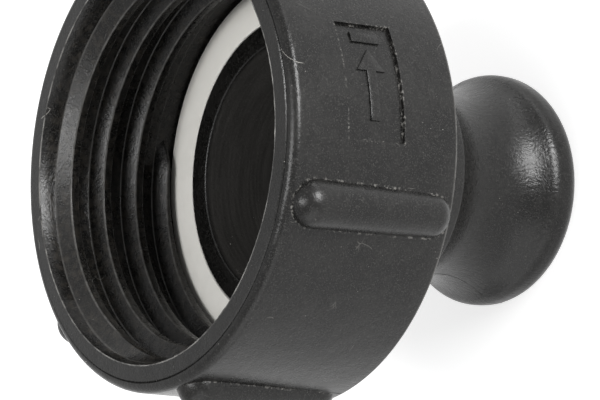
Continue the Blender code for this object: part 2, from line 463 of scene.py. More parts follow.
@dataclass
class PartingLine:
    """The fine ridge that the mould's two halves leave down the outside, on both sides."""

    rim_deg: float = 1.0
    bar_deg: float = 5.2
    spigot_deg: float = -4.5
    width: float = 0.22
    rise: float = 0.05
    sunk: float = 0.05
    sharp_deg: float = 80.0

    @staticmethod
    def fan(centre: tuple[float, float], turns: tuple[float, float], steps: int, reach: float) -> list:
        """Rays through one point of the section, turned step by step.

        Args:
            centre: The point, as radius and depth.
            turns: The first and last turn in degrees: 0 is away from the axis, 90 is up.
            steps: How many steps it takes.
            reach: How far out the rays start; they look inwards, or outwards where it is 0.

        Returns:
            Each ray's start and direction, as radius and depth.
        """
        rays = []
        for step in range(steps + 1):
            turn = math.radians(turns[0] + (turns[1] - turns[0]) * step / steps)
            out = Vector((math.cos(turn), -math.sin(turn)))
            rays.append((Vector(centre) + out * reach, -out if reach else out))
        return rays

    def rays(self) -> list[tuple[Vector, Vector, float]]:
        """The rays that find the outside, from the rim to the spigot's end, with their azimuths."""
        inwards, down, up = Vector((-1.0, 0.0)), Vector((0.0, 1.0)), Vector((0.0, -1.0))
        rim = [(Vector((30.9 + 0.4 * step, -5.0)), down) for step in range(5)]
        front = self.fan((33.0, 4.5), (90.0, 0.0), 24, 12.0)
        bar = [(Vector((45.0, 5.5 + 1.5 * step)), inwards) for step in range(13)]
        rear = self.fan((33.0, 24.5), (0.0, -90.0), 18, 12.0)
        shoulder = [(Vector((32.0 - step, 45.0)), up) for step in range(8)]
        neck = self.fan((25.0, 37.0), (90.0, 180.0), 12, 0.0)
        spigot = [(Vector((45.0, 38.0 + 0.75 * step)), inwards) for step in range(39)]
        end = self.fan((15.6, 66.6), (0.0, -75.0), 12, 10.0)
        placed = [(*ray, self.rim_deg) for ray in rim]
        for share, ray in enumerate(front):
            placed.append((*ray, self.rim_deg + (self.bar_deg - self.rim_deg) * min(1.0, share / 16)))
        placed += [(*ray, self.bar_deg) for ray in bar + rear]
        for share, ray in enumerate(shoulder + neck):
            placed.append((*ray, self.bar_deg + (self.spigot_deg - self.bar_deg) * min(1.0, share / 12)))
        return placed + [(*ray, self.spigot_deg) for ray in spigot + end]

    def drape(self, tree: BVHTree, side_deg: float) -> list[tuple[Vector, Vector]]:
        """Points on the moulding along the line, with the surface's normals.

        Args:
            tree: The moulding's surface.
            side_deg: The side of the moulding, as an azimuth.

        Returns:
            Each point and its normal.
        """
        found = []
        for start, look, azimuth in self.rays():
            turn = math.radians(azimuth + side_deg)
            away = Vector((math.cos(turn), math.sin(turn), 0.0))
            origin = away * start.x + Vector((0.0, 0.0, height(start.y)))
            direction = away * look.x - Vector((0.0, 0.0, look.y))
            place, normal, _, _ = tree.ray_cast(origin, direction)
            if place is not None:
                found.append((place, normal if normal.dot(direction) < 0 else -normal))
        return found

    def ridge(self, shape: BMesh, path: list[tuple[Vector, Vector]]) -> None:
        """Draws a low three-sided ridge along a path, closed at both ends."""
        sections = []
        for index, (place, normal) in enumerate(path):
            before = path[max(0, index - 1)][0]
            after = path[min(len(path) - 1, index + 1)][0]
            aside = normal.cross(after - before).normalized() * self.width / 2
            ragged = 0.75 + 0.5 * noise.noise(place * 0.9)
            foot = place - normal * self.sunk
            sections.append((foot - aside, place + normal * self.rise * ragged, foot + aside))
        face = shape.faces.new([shape.verts.new(corner) for corner in sections[0]])
        for section in sections[1:]:
            grown = bmesh.ops.extrude_face_region(shape, geom=[face], use_keep_orig=False)["geom"]
            face = next(item for item in grown if isinstance(item, bmesh.types.BMFace))
            for vert, corner in zip(face.verts, section):
                vert.co = corner

    def build(self, moulding: Object) -> Object:
        """Lays the ridge over a moulding that is still in millimetres."""
        mesh = moulding.data
        tree = BVHTree.FromPolygons(
            [vert.co for vert in mesh.vertices], [face.vertices for face in mesh.polygons]
        )
        shape = bmesh.new()
        for side_deg in (0.0, 180.0):
            self.ridge(shape, self.drape(tree, side_deg))
        bmesh.ops.recalc_face_normals(shape, faces=shape.faces)
        line = to_object(shape, "parting_line")
        finish_mesh(line, self.sharp_deg)
        return line


@dataclass
class TurnArrow:
    """A plain raised arrow in the sunk panel: the way to turn the adapter until it is tight."""

    shaft_start: float = -5.6
    shaft_end: float = 1.4
    tip: float = 4.6
    stop_bar: float = 5.6
    shaft_half: float = 0.75
    head_half: float = 2.3
    rise: float = 0.30
    sunk: float = 0.1
    softening: float = 0.08
    cut_every: float = 0.8
    sharp_deg: float = 40.0

    def flat_shapes(self) -> list[list[tuple[float, float]]]:
        """The outlines of the arrow and its stop bar, as run round the wall and depth."""
        arrow = [
            (self.shaft_start, -self.shaft_half),
            (self.shaft_end, -self.shaft_half),
            (self.shaft_end, -self.head_half),
            (self.tip, 0.0),
            (self.shaft_end, self.head_half),
            (self.shaft_end, self.shaft_half),
            (self.shaft_start, self.shaft_half),
        ]
        stop = [
            (self.stop_bar, -self.head_half),
            (self.stop_bar + 2 * self.shaft_half, -self.head_half),
            (self.stop_bar + 2 * self.shaft_half, self.head_half),
            (self.stop_bar, self.head_half),
        ]
        return [arrow, stop]

    def build(self, panel: SunkPanel, wall_radius: Callable[[float], float]) -> Object:
        """Raises the flat shapes, softens their edges and bends them round the wall.

        Args:
            panel: The field that the arrow stands in.
            wall_radius: Gives the wall's radius at a depth.

        Returns:
            The arrow and its stop bar, as one piece.
        """
        shape = bmesh.new()
        for outline in self.flat_shapes():
            shape.faces.new([shape.verts.new((run, down, 0.0)) for run, down in outline])
        cut = self.shaft_start + self.cut_every
        while cut < self.stop_bar:
            whole = [*shape.verts, *shape.edges, *shape.faces]
            bmesh.ops.bisect_plane(shape, geom=whole, plane_co=(cut, 0.0, 0.0), plane_no=(1.0, 0.0, 0.0))
            cut += self.cut_every
        grown = bmesh.ops.extrude_face_region(shape, geom=list(shape.faces), use_keep_orig=True)["geom"]
        tops = [item for item in grown if isinstance(item, bmesh.types.BMVert)]
        bmesh.ops.translate(shape, verts=tops, vec=(0.0, 0.0, self.rise + self.sunk))
        bmesh.ops.recalc_face_normals(shape, faces=shape.faces)
        level = self.rise + self.sunk
        crests = [
            edge
            for edge in shape.edges
            if all(abs(vert.co.z - level) < 1e-6 for vert in edge.verts) and edge.calc_face_angle(0.0) > 0.5
        ]
        bmesh.ops.bevel(
            shape,
            geom=crests,
            offset=self.softening,
            segments=2,
            profile=0.5,
            affect="EDGES",
            material=-1,
        )
        middle = (panel.start + panel.end) / 2
        for vert in shape.verts:
            depth = middle + vert.co.y
            floor = wall_radius(depth) - panel.sink
            turn = math.radians(panel.centre_deg) + vert.co.x / floor
            radius = floor - self.sunk + vert.co.z
            vert.co = Vector((radius * math.cos(turn), radius * math.sin(turn), height(depth)))
        bmesh.ops.recalc_face_normals(shape, faces=shape.faces)
        arrow = to_object(shape, "turn_arrow")
        finish_mesh(arrow, self.sharp_deg)
        return arrow


@dataclass
class AdapterBody:
    """The one moulding: threaded socket, grip bars, funnel, bore and grooved spigot."""

    segments: int = 240
    rim_outer: float = 32.85
    step_width: float = 0.15
    step_depth: float = 0.28
    shoulder: float = 1.4
    socket_front: float = 34.5
    socket_rear: float = 36.05
    socket_depth: float = 27.4
    rear_edge: float = 0.3
    neck_root_depth: float = 31.6
    neck_root: float = 3.0
    wall_row: float = 2.0
    recess_depth: float = 26.7
    recess_fillet: float = 0.5
    collar_depth: float = 23.8
    collar_outer: float = 22.95
    collar_inner: float = 19.4
    collar_inner_edge: float = 0.35
    collar_outer_edge: float = 0.15
    spigot: float = 19.0
    groove_middle: float = 54.5
    groove_bottom: float = 14.8
    groove_arc: float = 14.0
    groove_edge: float = 0.8
    groove_steps: int = 28
    lip_fillet: float = 3.4
    bore: float = 12.0
    bore_edge: float = 0.5
    bore_start: float = 44.7
    bore_start_fillet: float = 10.0
    sharp_deg: float = 32.0
    thread: Thread = field(default_factory=Thread)
    lead_in: LeadIn = field(default_factory=LeadIn)
    bars: GripBars = field(default_factory=GripBars)
    panel: SunkPanel = field(default_factory=SunkPanel)
    flash: RimFlash = field(default_factory=RimFlash)
    parting_line: PartingLine = field(default_factory=PartingLine)
    arrow: TurnArrow = field(default_factory=TurnArrow)

    def groove_and_lip(self) -> list[Corner]:
        """The round groove for a coupler's levers, and the lip's arc that it runs into smoothly."""
        groove_centre = Corner(self.groove_bottom + self.groove_arc, self.groove_middle)
        reach = math.acos((groove_centre.radius - self.spigot) / self.groove_arc)
        front_depth = self.groove_middle - self.groove_arc * math.sin(reach)
        front_edge = Corner(self.spigot, front_depth, self.groove_edge, 5)
        apart = self.groove_arc + self.lip_fillet
        contact = math.acos((groove_centre.radius - self.spigot + self.lip_fillet) / apart)
        lip_centre = Corner(
            self.spigot - self.lip_fillet, self.groove_middle + apart * math.sin(contact)
        )
        groove = arc_corners(
            groove_centre, self.groove_arc, (math.pi + reach, math.pi - contact), self.groove_steps
        )
        lip = arc_corners(lip_centre, self.lip_fillet, (-contact, 0.0), 8)
        return [front_edge, *groove[1:], *lip[1:]]

    def wall_radius(self, depth: float) -> float:
        """Outer radius of the socket's wall at a depth."""
        share = (depth - self.step_width) / (self.socket_depth - self.step_width)
        return self.socket_front + (self.socket_rear - self.socket_front) * share

    def wall_rows(self) -> list[Corner]:
        """Points down the socket's outer wall, so that its faces stay short."""
        count = round((self.socket_depth - 2 * self.shoulder) / self.wall_row)
        rows = []
        for step in range(1, count):
            depth = self.shoulder + (self.socket_depth - self.shoulder) * step / count
            rows.append(Corner(self.wall_radius(depth), depth))
        return rows

    def outline(self) -> list[Corner]:
        """The section: across the rim, down the outside, and back up the bore and the socket."""
        step_middle = self.rim_outer + self.step_width
        return [
            Corner(self.lead_in.rim_radius, 0.0),
            Corner(self.rim_outer, 0.0),
            Corner(step_middle, self.step_depth),
            Corner(step_middle + self.step_width, self.step_width),
            Corner(self.socket_front, self.step_width, self.shoulder, 10),
            *self.wall_rows(),
            Corner(self.socket_rear, self.socket_depth, self.rear_edge, 6),
            Corner(self.spigot, self.neck_root_depth, self.neck_root, 10),
            *self.groove_and_lip(),
            Corner(self.spigot, LENGTH, self.lip_fillet, 16),
            Corner(self.bore, LENGTH, self.bore_edge, 5),
            Corner(self.bore, self.bore_start, self.bore_start_fillet, 10),
            Corner(self.collar_inner, self.collar_depth, self.collar_inner_edge, 5),
            Corner(self.collar_outer, self.collar_depth, self.collar_outer_edge, 2),
            Corner(self.collar_outer, self.recess_depth),
            Corner(self.thread.root, self.recess_depth, self.recess_fillet, 4),
            Corner(self.thread.root, self.lead_in.depth),
        ]

    def build(self) -> list[Object]:
        """Turns the section, joins the thread and the bars, sinks the panel and adds the fine forms.

        Returns:
            The moulding first, then its rim flash, parting line and arrow.
        """
        body = to_object(turned(self.outline(), self.segments), "moulded_adapter")
        added = bmesh.new()
        for shape in [self.thread.build(self.segments, self.lead_in), *self.bars.build()]:
            mesh = bpy.data.meshes.new("added")
            shape.to_mesh(mesh)
            shape.free()
            added.from_mesh(mesh)
            bpy.data.meshes.remove(mesh)
        combine(body, to_object(added, "added"), "UNION")
        combine(body, to_object(self.panel.cutter(self.wall_radius), "panel_cutter"), "DIFFERENCE")
        seam = self.parting_line.build(body)
        finish_mesh(body, self.sharp_deg)
        return [body, self.flash.build(), seam, self.arrow.build(self.panel, self.wall_radius)]


@dataclass
class FlatGasket:
    """The loose pale ring on the socket's floor."""

    inner: float = 23.25
    outer: float = 29.4
    front: float = 23.9
    thickness: float = 2.5
    edge: float = 0.2
    segments: int = 200
    sharp_deg: float = 50.0

    def build(self) -> Object:
        """Turns the ring."""
        back = self.front + self.thickness
        corners = [
            Corner(self.inner, self.front, self.edge, 3),
            Corner(self.outer, self.front, self.edge, 3),
            Corner(self.outer, back, self.edge, 3),
            Corner(self.inner, back, self.edge, 3),
        ]
        gasket = to_object(turned(corners, self.segments), "pale_gasket")
        finish_mesh(gasket, self.sharp_deg)
        return gasket


def new_material(name: str) -> Material:
    """A material with nodes and Blender's usual Principled shader."""
    material = bpy.data.materials.new(name)
    material.use_nodes = True
    return material


class NodeSheet:
    """A node tree under construction, with short calls that place a node and feed its sockets."""

    def __init__(self, tree: bpy.types.NodeTree) -> None:
        """Starts on an existing tree."""
        self.tree = tree

    def feed(self, socket: NodeSocket, value: object) -> None:
        """Links a socket to another, or sets its value."""
        if isinstance(value, NodeSocket):
            self.tree.links.new(value, socket)
        else:
            socket.default_value = value

    def add(self, kind: str, feeds: dict, **settings: object) -> bpy.types.Node:
        """Places a node.

        Args:
            kind: The shader node's type, without its usual prefix.
            feeds: Values or sockets for its inputs, by name or number.
            settings: The node's own options.

        Returns:
            The node.
        """
        node = self.tree.nodes.new(f"ShaderNode{kind}")
        for name, value in settings.items():
            setattr(node, name, value)
        for key, value in feeds.items():
            self.feed(node.inputs[key], value)
        return node

    def math(self, operation: str, *values: object) -> NodeSocket:
        """The result of a sum on numbers or sockets."""
        return self.add("Math", dict(enumerate(values)), operation=operation).outputs[0]

    def plus(self, first: object, second: object) -> NodeSocket:
        """A sum."""
        return self.math("ADD", first, second)

    def minus(self, first: object, second: object) -> NodeSocket:
        """A difference."""
        return self.math("SUBTRACT", first, second)

    def times_plus(self, value: object, factor: object, base: object) -> NodeSocket:
        """A value times a factor, plus a base."""
        return self.math("MULTIPLY_ADD", value, factor, base)

    def fade(self, value: object, low: float, high: float) -> NodeSocket:
        """A smooth step from 0 at low to 1 at high, or from 1 to 0 where low is the larger."""
        feeds = {"Value": value, "From Min": low, "From Max": high}
        if low > high:
            feeds.update({"From Min": high, "From Max": low, "To Min": 1.0, "To Max": 0.0})
        return self.add("MapRange", feeds, interpolation_type="SMOOTHSTEP").outputs["Result"]

    def noise(self, vector: object, scale: object, detail: float = 2.0) -> NodeSocket:
        """Soft noise from 0 to 1."""
        return self.add("TexNoise", {"Vector": vector, "Scale": scale, "Detail": detail}).outputs[0]

    def blend(self, share: object, first: object, second: object) -> NodeSocket:
        """A colour between two colours."""
        node = self.add("Mix", {0: share, 6: first, 7: second}, data_type="RGBA")
        return node.outputs[2]

    def both(self, *masks: object) -> NodeSocket:
        """The product of masks."""
        total = masks[0]
        for mask in masks[1:]:
            total = self.math("MULTIPLY", total, mask)
        return total

    def either(self, *masks: object) -> NodeSocket:
        """The strongest of masks."""
        total = masks[0]
        for mask in masks[1:]:
            total = self.math("MAXIMUM", total, mask)
        return total


class SharedEffects:
    """The node groups that more than one finish uses, each built once."""

    def __init__(self) -> None:
        """Builds the groups."""
        self.grain = self.mould_grain()
        self.dust = self.settled_dust()

    @staticmethod
    def new_group(name: str, inputs: dict[str, str], outputs: list[str]) -> tuple:
        """An empty group with its sockets.

        Args:
            name: The group's name.
            inputs: The type of each input socket, by name.
            outputs: The names of the output sockets, which hold numbers.

        Returns:
            The group, its sheet, and its input and output nodes.
        """
        group = bpy.data.node_groups.new(name, "ShaderNodeTree")
        for label, kind in inputs.items():
            group.interface.new_socket(label, in_out="INPUT", socket_type=kind)
        for label in outputs:
            group.interface.new_socket(label, in_out="OUTPUT", socket_type="NodeSocketFloat")
        entry = group.nodes.new("NodeGroupInput")
        leave = group.nodes.new("NodeGroupOutput")
        return group, NodeSheet(group), entry, leave

    def mould_grain(self) -> bpy.types.NodeTree:
        """The fine mottling of a moulded surface, the slow waviness under it, and its pale grains."""
        inputs = {"Place": "NodeSocketVector", "Scale": "NodeSocketFloat"}
        group, sheet, entry, leave = self.new_group("mould_grain", inputs, ["Height", "Mottle", "Salt"])
        place = entry.outputs["Place"]
        scale = entry.outputs["Scale"]
        fine = sheet.noise(place, scale, 3.0)
        coarse = sheet.noise(place, sheet.both(scale, 0.31))
        waves = sheet.noise(place, sheet.both(scale, 0.055), 1.0)
        heights = sheet.times_plus(coarse, 0.9, fine)
        sheet.feed(leave.inputs["Height"], sheet.times_plus(waves, 3.0, heights))
        mottle = sheet.times_plus(waves, 0.5, sheet.both(coarse, 0.5))
        sheet.feed(leave.inputs["Mottle"], sheet.fade(mottle, 0.35, 0.65))
        salt = sheet.noise(place, sheet.both(scale, 1.7), 1.0)
        sheet.feed(leave.inputs["Salt"], sheet.fade(salt, 0.52, 0.70))
        return group

    def settled_dust(self) -> bpy.types.NodeTree:
        """Small specks and a few hairs, as a mask."""
        inputs = {"Place": "NodeSocketVector", "Amount": "NodeSocketFloat"}
        group, sheet, entry, leave = self.new_group("settled_dust", inputs, ["Mask"])
        place = entry.outputs["Place"]
        amount = entry.outputs["Amount"]
        patches = sheet.noise(place, 90.0)
        grains = sheet.add("TexVoronoi", {"Vector": place, "Scale": 1500.0})
        chance = sheet.add("SeparateColor", {0: grains.outputs["Color"]})
        size = sheet.times_plus(chance.outputs["Green"], 0.11, 0.03)
        near = sheet.fade(sheet.minus(size, grains.outputs["Distance"]), 0.0, 0.05)
        reach = sheet.both(amount, sheet.fade(patches, 0.3, 0.75))
        picked = sheet.math("LESS_THAN", chance.outputs["Red"], reach)
        specks = sheet.both(near, picked, sheet.times_plus(chance.outputs["Blue"], 0.75, 0.15))
        bend = sheet.add("TexNoise", {"Vector": place, "Scale": 160.0, "Detail": 1.0})
        bent = sheet.add(
            "VectorMath",
            {0: bend.outputs["Color"], 1: (0.006, 0.006, 0.006), 2: place},
            operation="MULTIPLY_ADD",
        )
        net = sheet.add(
            "TexVoronoi", {"Vector": bent.outputs[0], "Scale": 170.0}, feature="DISTANCE_TO_EDGE"
        )
        thin = sheet.fade(net.outputs["Distance"], 0.011, 0.004)
        sparse = sheet.fade(sheet.noise(place, 240.0, 1.0), 0.68, 0.74)
        hairs = sheet.both(thin, sparse, sheet.fade(amount, 0.1, 0.6))
        sheet.feed(leave.inputs["Mask"], sheet.either(specks, hairs))
        return group


class FinishSheet(NodeSheet):
    """The tree of one finish, with the part's own coordinates and the mould's grain at hand."""

    def __init__(self, name: str, effects: SharedEffects, grain_per_metre: float) -> None:
        """Starts a material.

        Args:
            name: The material's name.
            effects: The shared node groups.
            grain_per_metre: How fine the grain is.
        """
        self.material = new_material(name)
        super().__init__(self.material.node_tree)
        self.shader = self.tree.nodes["Principled BSDF"]
        self.place = self.add("TexCoord", {}).outputs["Object"]
        self.effects = effects
        self.grain = self.shared(effects.grain, "Scale", grain_per_metre)

    def shared(self, group: bpy.types.NodeTree, setting: str, value: object) -> bpy.types.NodeOutputs:
        """The outputs of a shared group, at this finish's place and with one setting."""
        return self.add("Group", {"Place": self.place, setting: value}, node_tree=group).outputs

    def dust(self, amount: object) -> NodeSocket:
        """The mask of settled dust."""
        return self.shared(self.effects.dust, "Amount", amount)["Mask"]

    def done(self, colour: object, rough: object, relief: object, relief_height: float) -> Material:
        """Feeds the shader.

        Args:
            colour: The base colour.
            rough: The roughness.
            relief: The relief, as a number.
            relief_height: The height in metres that 1 stands for.

        Returns:
            The material.
        """
        bump = self.add("Bump", {"Height": relief, "Distance": relief_height, "Strength": 1.0})
        feeds = {"Base Color": colour, "Roughness": rough, "Normal": bump.outputs["Normal"]}
        for name, value in feeds.items():
            self.feed(self.shader.inputs[name], value)
        return self.material


class MouldingSheet(FinishSheet):
    """The moulding's sheet: where a shaded point lies, in millimetres, and masks of its special places.

    A pair of numbers holds the two ends of a fade.
    """

    SOCKET_WALL = (30.5, 30.1), (26.5, 27.2)
    SOCKET_FLOOR = 28.0, 27.0
    CREST = (27.95, 27.7), (27.2, 27.4)
    ROOT = (29.5, 29.75), (30.4, 30.2)
    THREAD_END = 24.0, 23.0
    REAR_EDGE_RADIUS = 35.6, 35.85
    REAR_EDGE_DEPTH = 26.95, 27.2
    OUTER_WALL = 33.0, 34.0
    RIM_RADIUS = 30.2, 30.8
    RIM_DEPTH = 2.6, 0.6
    SPIGOT_DEPTH = 31.0, 34.0
    SPIGOT_RADIUS = 13.0, 13.6
    FUNNEL_DEPTH = 23.8, 24.6
    LINE_FRONT, LINE_REAR, LINE_FOOT = 0.2, 0.12, 0.14
    CREASE_BY_BAR = 0.35, 0.05
    CREASE_BY_WALL = 0.32, 0.05
    PANEL_LINE = 0.32, 0.04

    def __init__(self, name: str, effects: SharedEffects, grain_per_metre: float, body: AdapterBody) -> None:
        """Starts a material, and works out the point's radius, azimuth and depth.

        Args:
            name: The material's name.
            effects: The shared node groups.
            grain_per_metre: How fine the grain is.
            body: The moulding's sizes.
        """
        super().__init__(name, effects, grain_per_metre)
        self.body = body
        in_mm = self.add("VectorMath", {0: self.place, 1: (1 / MM,) * 3}, operation="MULTIPLY")
        self.parts = self.add("SeparateXYZ", {0: in_mm.outputs["Vector"]}).outputs
        self.radius = self.span(self.parts[0], self.parts[1])
        self.azimuth = self.math("ARCTAN2", self.parts[1], self.parts[0])
        self.depth = self.minus(LENGTH, self.parts[2])

    def span(self, *sides: object) -> NodeSocket:
        """The length of a line with these sides, each at a right angle to the others."""
        total = self.both(sides[0], sides[0])
        for side in sides[1:]:
            total = self.plus(total, self.both(side, side))
        return self.math("SQRT", total)

    def off(self, value: object, middle: object) -> NodeSocket:
        """How far a value is from its middle, on either side."""
        return self.math("ABSOLUTE", self.minus(value, middle))

    def within(self, value: object, *ends: tuple[float, float]) -> NodeSocket:
        """The product of several fades of one value."""
        return self.both(*(self.fade(value, *pair) for pair in ends))

    def socket_wall(self) -> NodeSocket:
        """1 on the threaded wall inside the socket."""
        beside = self.within(self.radius, *self.SOCKET_WALL)
        return self.both(beside, self.within(self.depth, self.SOCKET_FLOOR))

    def rim(self) -> NodeSocket:
        """1 on the rim of the mouth and just behind it."""
        return self.both(self.within(self.radius, self.RIM_RADIUS), self.within(self.depth, self.RIM_DEPTH))

    def helix_line(self, spiral: object, depth: float, width: float) -> NodeSocket:
        """A line along the thread's helix.

        Args:
            spiral: The phase of the helix, in turns, which is 0 at the crest's front edge.
            depth: How far behind that edge the line lies.
            width: Its half-width.

        Returns:
            The mask.
        """
        pitch = self.body.thread.pitch
        shifted = self.plus(self.minus(spiral, depth / pitch), 100.5)
        off = self.off(self.math("FRACT", shifted), 0.5)
        return self.fade(off, width / pitch, 0.3 * width / pitch)

    def painted_edge_highlights(self) -> NodeSocket:
        """Painted highlights: pale lines along the front and rear edges of the thread's crest, along the
        foot of its front flank, and along the socket's rear edge, where light catches those edges.
        """
        thread = self.body.thread
        along = self.math("DIVIDE", self.minus(self.depth, thread.start_depth), thread.pitch)
        spiral = self.plus(along, self.math("DIVIDE", self.azimuth, 2 * math.pi))
        crest = self.within(self.radius, *self.CREST)
        rise = thread.root - thread.crest
        foot_depth = -rise * math.tan(math.radians(thread.front_flank_deg))
        front = self.both(crest, self.helix_line(spiral, 0.05, self.LINE_FRONT))
        rear = self.both(crest, self.helix_line(spiral, thread.crest_width, self.LINE_REAR), 0.6)
        foot = self.helix_line(spiral, foot_depth, self.LINE_FOOT)
        foot = self.both(self.within(self.radius, *self.ROOT), foot, 0.55)
        on_thread = self.both(self.either(front, rear, foot), self.within(self.depth, self.THREAD_END))
        # Painted highlight along the socket's rear edge.
        at_rear = self.within(self.radius, self.REAR_EDGE_RADIUS)
        behind = self.both(at_rear, self.within(self.depth, self.REAR_EDGE_DEPTH), 0.9)
        return self.either(on_thread, behind)

    def bar_crease(self) -> NodeSocket:
        """1 in the corners where the grip bars meet the wall."""
        bars = self.body.bars
        share = 2 * math.pi / bars.count
        turns = self.math("FRACT", self.plus(self.math("DIVIDE", self.azimuth, share), 100.5))
        local = self.both(self.minus(turns, 0.5), share)
        across = self.both(self.radius, self.math("SINE", local))
        out = self.minus(self.both(self.radius, self.math("COSINE", local)), bars.axis_radius)
        before = self.either(self.minus(bars.start + bars.radius, self.depth), 0.0)
        behind = self.either(self.minus(self.depth, bars.end - bars.radius), 0.0)
        from_axis = self.span(across, out, self.plus(before, behind))
        slope = (self.body.socket_rear - self.body.socket_front) / self.body.socket_depth
        wall = self.times_plus(self.depth, slope, self.body.socket_front)
        by_bar = self.fade(self.off(from_axis, bars.radius), *self.CREASE_BY_BAR)
        by_wall = self.fade(self.minus(self.radius, wall), *self.CREASE_BY_WALL)
        return self.both(by_bar, by_wall, self.within(self.radius, self.OUTER_WALL))

    def panel_edge(self) -> NodeSocket:
        """1 along the sunk panel's border."""
        panel = self.body.panel
        turn = self.off(self.azimuth, math.radians(panel.centre_deg))
        beside = self.both(self.minus(turn, math.radians(panel.width_deg / 2)), self.radius)
        middle, half_run = (panel.start + panel.end) / 2, (panel.end - panel.start) / 2
        along = self.minus(self.off(self.depth, middle), half_run)
        border = self.off(self.either(beside, along), 0.0)
        return self.both(self.fade(border, *self.PANEL_LINE), self.within(self.radius, self.OUTER_WALL))

    def funnel(self) -> NodeSocket:
        """1 inside the funnel, whose wall is a cone."""
        body = self.body
        slope = (body.collar_inner - body.bore) / (body.bore_start - body.collar_depth)
        level = self.times_plus(self.minus(self.depth, body.collar_depth), slope, self.radius)
        inside = self.fade(level, body.collar_inner + 1.2, body.collar_inner + 0.5)
        return self.both(inside, self.within(self.depth, self.FUNNEL_DEPTH))

    def round_marks(self) -> NodeSocket:
        """Fine marks that run round the axis."""
        place = self.add("CombineXYZ", {0: self.radius, 1: self.depth, 2: self.both(self.azimuth, 0.9)})
        return self.noise(place.outputs[0], 2.2)

    def drawn_marks(self) -> NodeSocket:
        """Fine marks along the axis, on the spigot only."""
        drawn = self.both(self.parts[2], 0.12)
        place = self.add("CombineXYZ", {0: self.parts[0], 1: self.parts[1], 2: drawn})
        along = self.within(self.depth, self.SPIGOT_DEPTH)
        return self.both(
            self.noise(place.outputs[0], 2.4), along, self.within(self.radius, self.SPIGOT_RADIUS)
        )


@dataclass(frozen=True)
class BlackMoulding:
    """Satin black plastic with the mould's fine mottling and dust in its corners, with painted highlights
    along the thread's edges and the socket's rear edge, and a painted sheen in the funnel.
    """

    body: AdapterBody
    effects: SharedEffects
    colour: tuple = (0.0032, 0.0031, 0.0029, 1.0)
    mottled: tuple = (0.0064, 0.0061, 0.0057, 1.0)
    salt: tuple = (0.034, 0.033, 0.031, 1.0)
    brown_dust: tuple = (0.030, 0.026, 0.021, 1.0)
    # Lighter colour painted inside the funnel as a sheen where light would reflect off its wall.
    funnel_painted_sheen: tuple = (0.050, 0.048, 0.045, 1.0)
    # Pale colour of the painted highlights along the thread's edges and the socket's rear edge.
    painted_highlight: tuple = (0.075, 0.073, 0.069, 1.0)
    dust: tuple = (0.30, 0.29, 0.27, 1.0)
    roughness: float = 0.24
    ior: float = 1.33
    grain_per_metre: float = 3000.0
    grain_height: float = 0.00004
    salt_share: float = 0.6
    brown_share: float = 0.55
    corner_share: float = 0.4
    dust_everywhere: float = 0.22
    dust_in_creases: float = 0.9
    dust_on_rim: float = 0.55
    drawn_relief: float = 1.3
    round_relief: float = 0.5
    dust_relief: float = 1.2

    def make(self) -> Material:
        """Builds the material."""
        sheet = MouldingSheet("black_moulding", self.effects, self.grain_per_metre, self.body)
        crease = sheet.bar_crease()
        funnel = sheet.funnel()
        rings = sheet.round_marks()
        amount = sheet.times_plus(crease, self.dust_in_creases, self.dust_everywhere)
        dust = sheet.dust(sheet.times_plus(sheet.rim(), self.dust_on_rim, amount))
        broken = sheet.fade(sheet.noise(sheet.place, 700.0), 0.35, 0.62)
        dusty = sheet.fade(sheet.noise(sheet.place, 2600.0, 1.0), 0.46, 0.66)
        soiled = sheet.fade(sheet.noise(sheet.place, 900.0, 4.0), 0.42, 0.72)
        # Painted sheen in the funnel, streaked along the round marks.
        painted_sheen_streaks = sheet.times_plus(sheet.fade(rings, 0.3, 0.7), 0.3, 0.6)
        corners = sheet.either(crease, sheet.panel_edge())
        layers = [
            (sheet.grain["Mottle"], self.mottled),
            (sheet.both(sheet.socket_wall(), soiled, self.brown_share), self.brown_dust),
            # Painted sheen inside the funnel.
            (sheet.both(funnel, painted_sheen_streaks), self.funnel_painted_sheen),
            # Painted highlights along the thread's edges and the socket's rear edge, broken up by noise.
            (sheet.both(sheet.painted_edge_highlights(), sheet.times_plus(broken, 0.5, 0.5)), self.painted_highlight),
            (sheet.both(sheet.grain["Salt"], self.salt_share), self.salt),
            (sheet.both(corners, dusty, broken, self.corner_share), self.dust),
            (dust, self.dust),
        ]
        colour = self.colour
        for share, layer in layers:
            colour = sheet.blend(share, colour, layer)
        rough = sheet.times_plus(sheet.grain["Mottle"], 0.07, self.roughness)
        rough = sheet.times_plus(dust, 0.3, rough)
        marks = sheet.plus(
            sheet.both(sheet.drawn_marks(), self.drawn_relief), sheet.both(rings, funnel, self.round_relief)
        )
        relief = sheet.times_plus(dust, self.dust_relief, sheet.plus(sheet.grain["Height"], marks))
        sheet.feed(sheet.shader.inputs["IOR"], self.ior)
        return sheet.done(colour, rough, relief, self.grain_height)


@dataclass(frozen=True)
class TornFlash:
    """Whitened plastic at a torn edge."""

    effects: SharedEffects
    dark: tuple = (0.022, 0.021, 0.020, 1.0)
    pale: tuple = (0.20, 0.195, 0.185, 1.0)
    roughness: float = 0.5
    grain_per_metre: float = 3500.0
    grain_height: float = 0.00002

    def make(self) -> Material:
        """Builds the material."""
        sheet = FinishSheet("torn_flash", self.effects, self.grain_per_metre)
        torn = sheet.fade(sheet.noise(sheet.place, 420.0, 4.0), 0.36, 0.66)
        rough = sheet.times_plus(sheet.grain["Mottle"], 0.15, self.roughness)
        return sheet.done(
            sheet.blend(torn, self.dark, self.pale), rough, sheet.grain["Height"], self.grain_height
        )


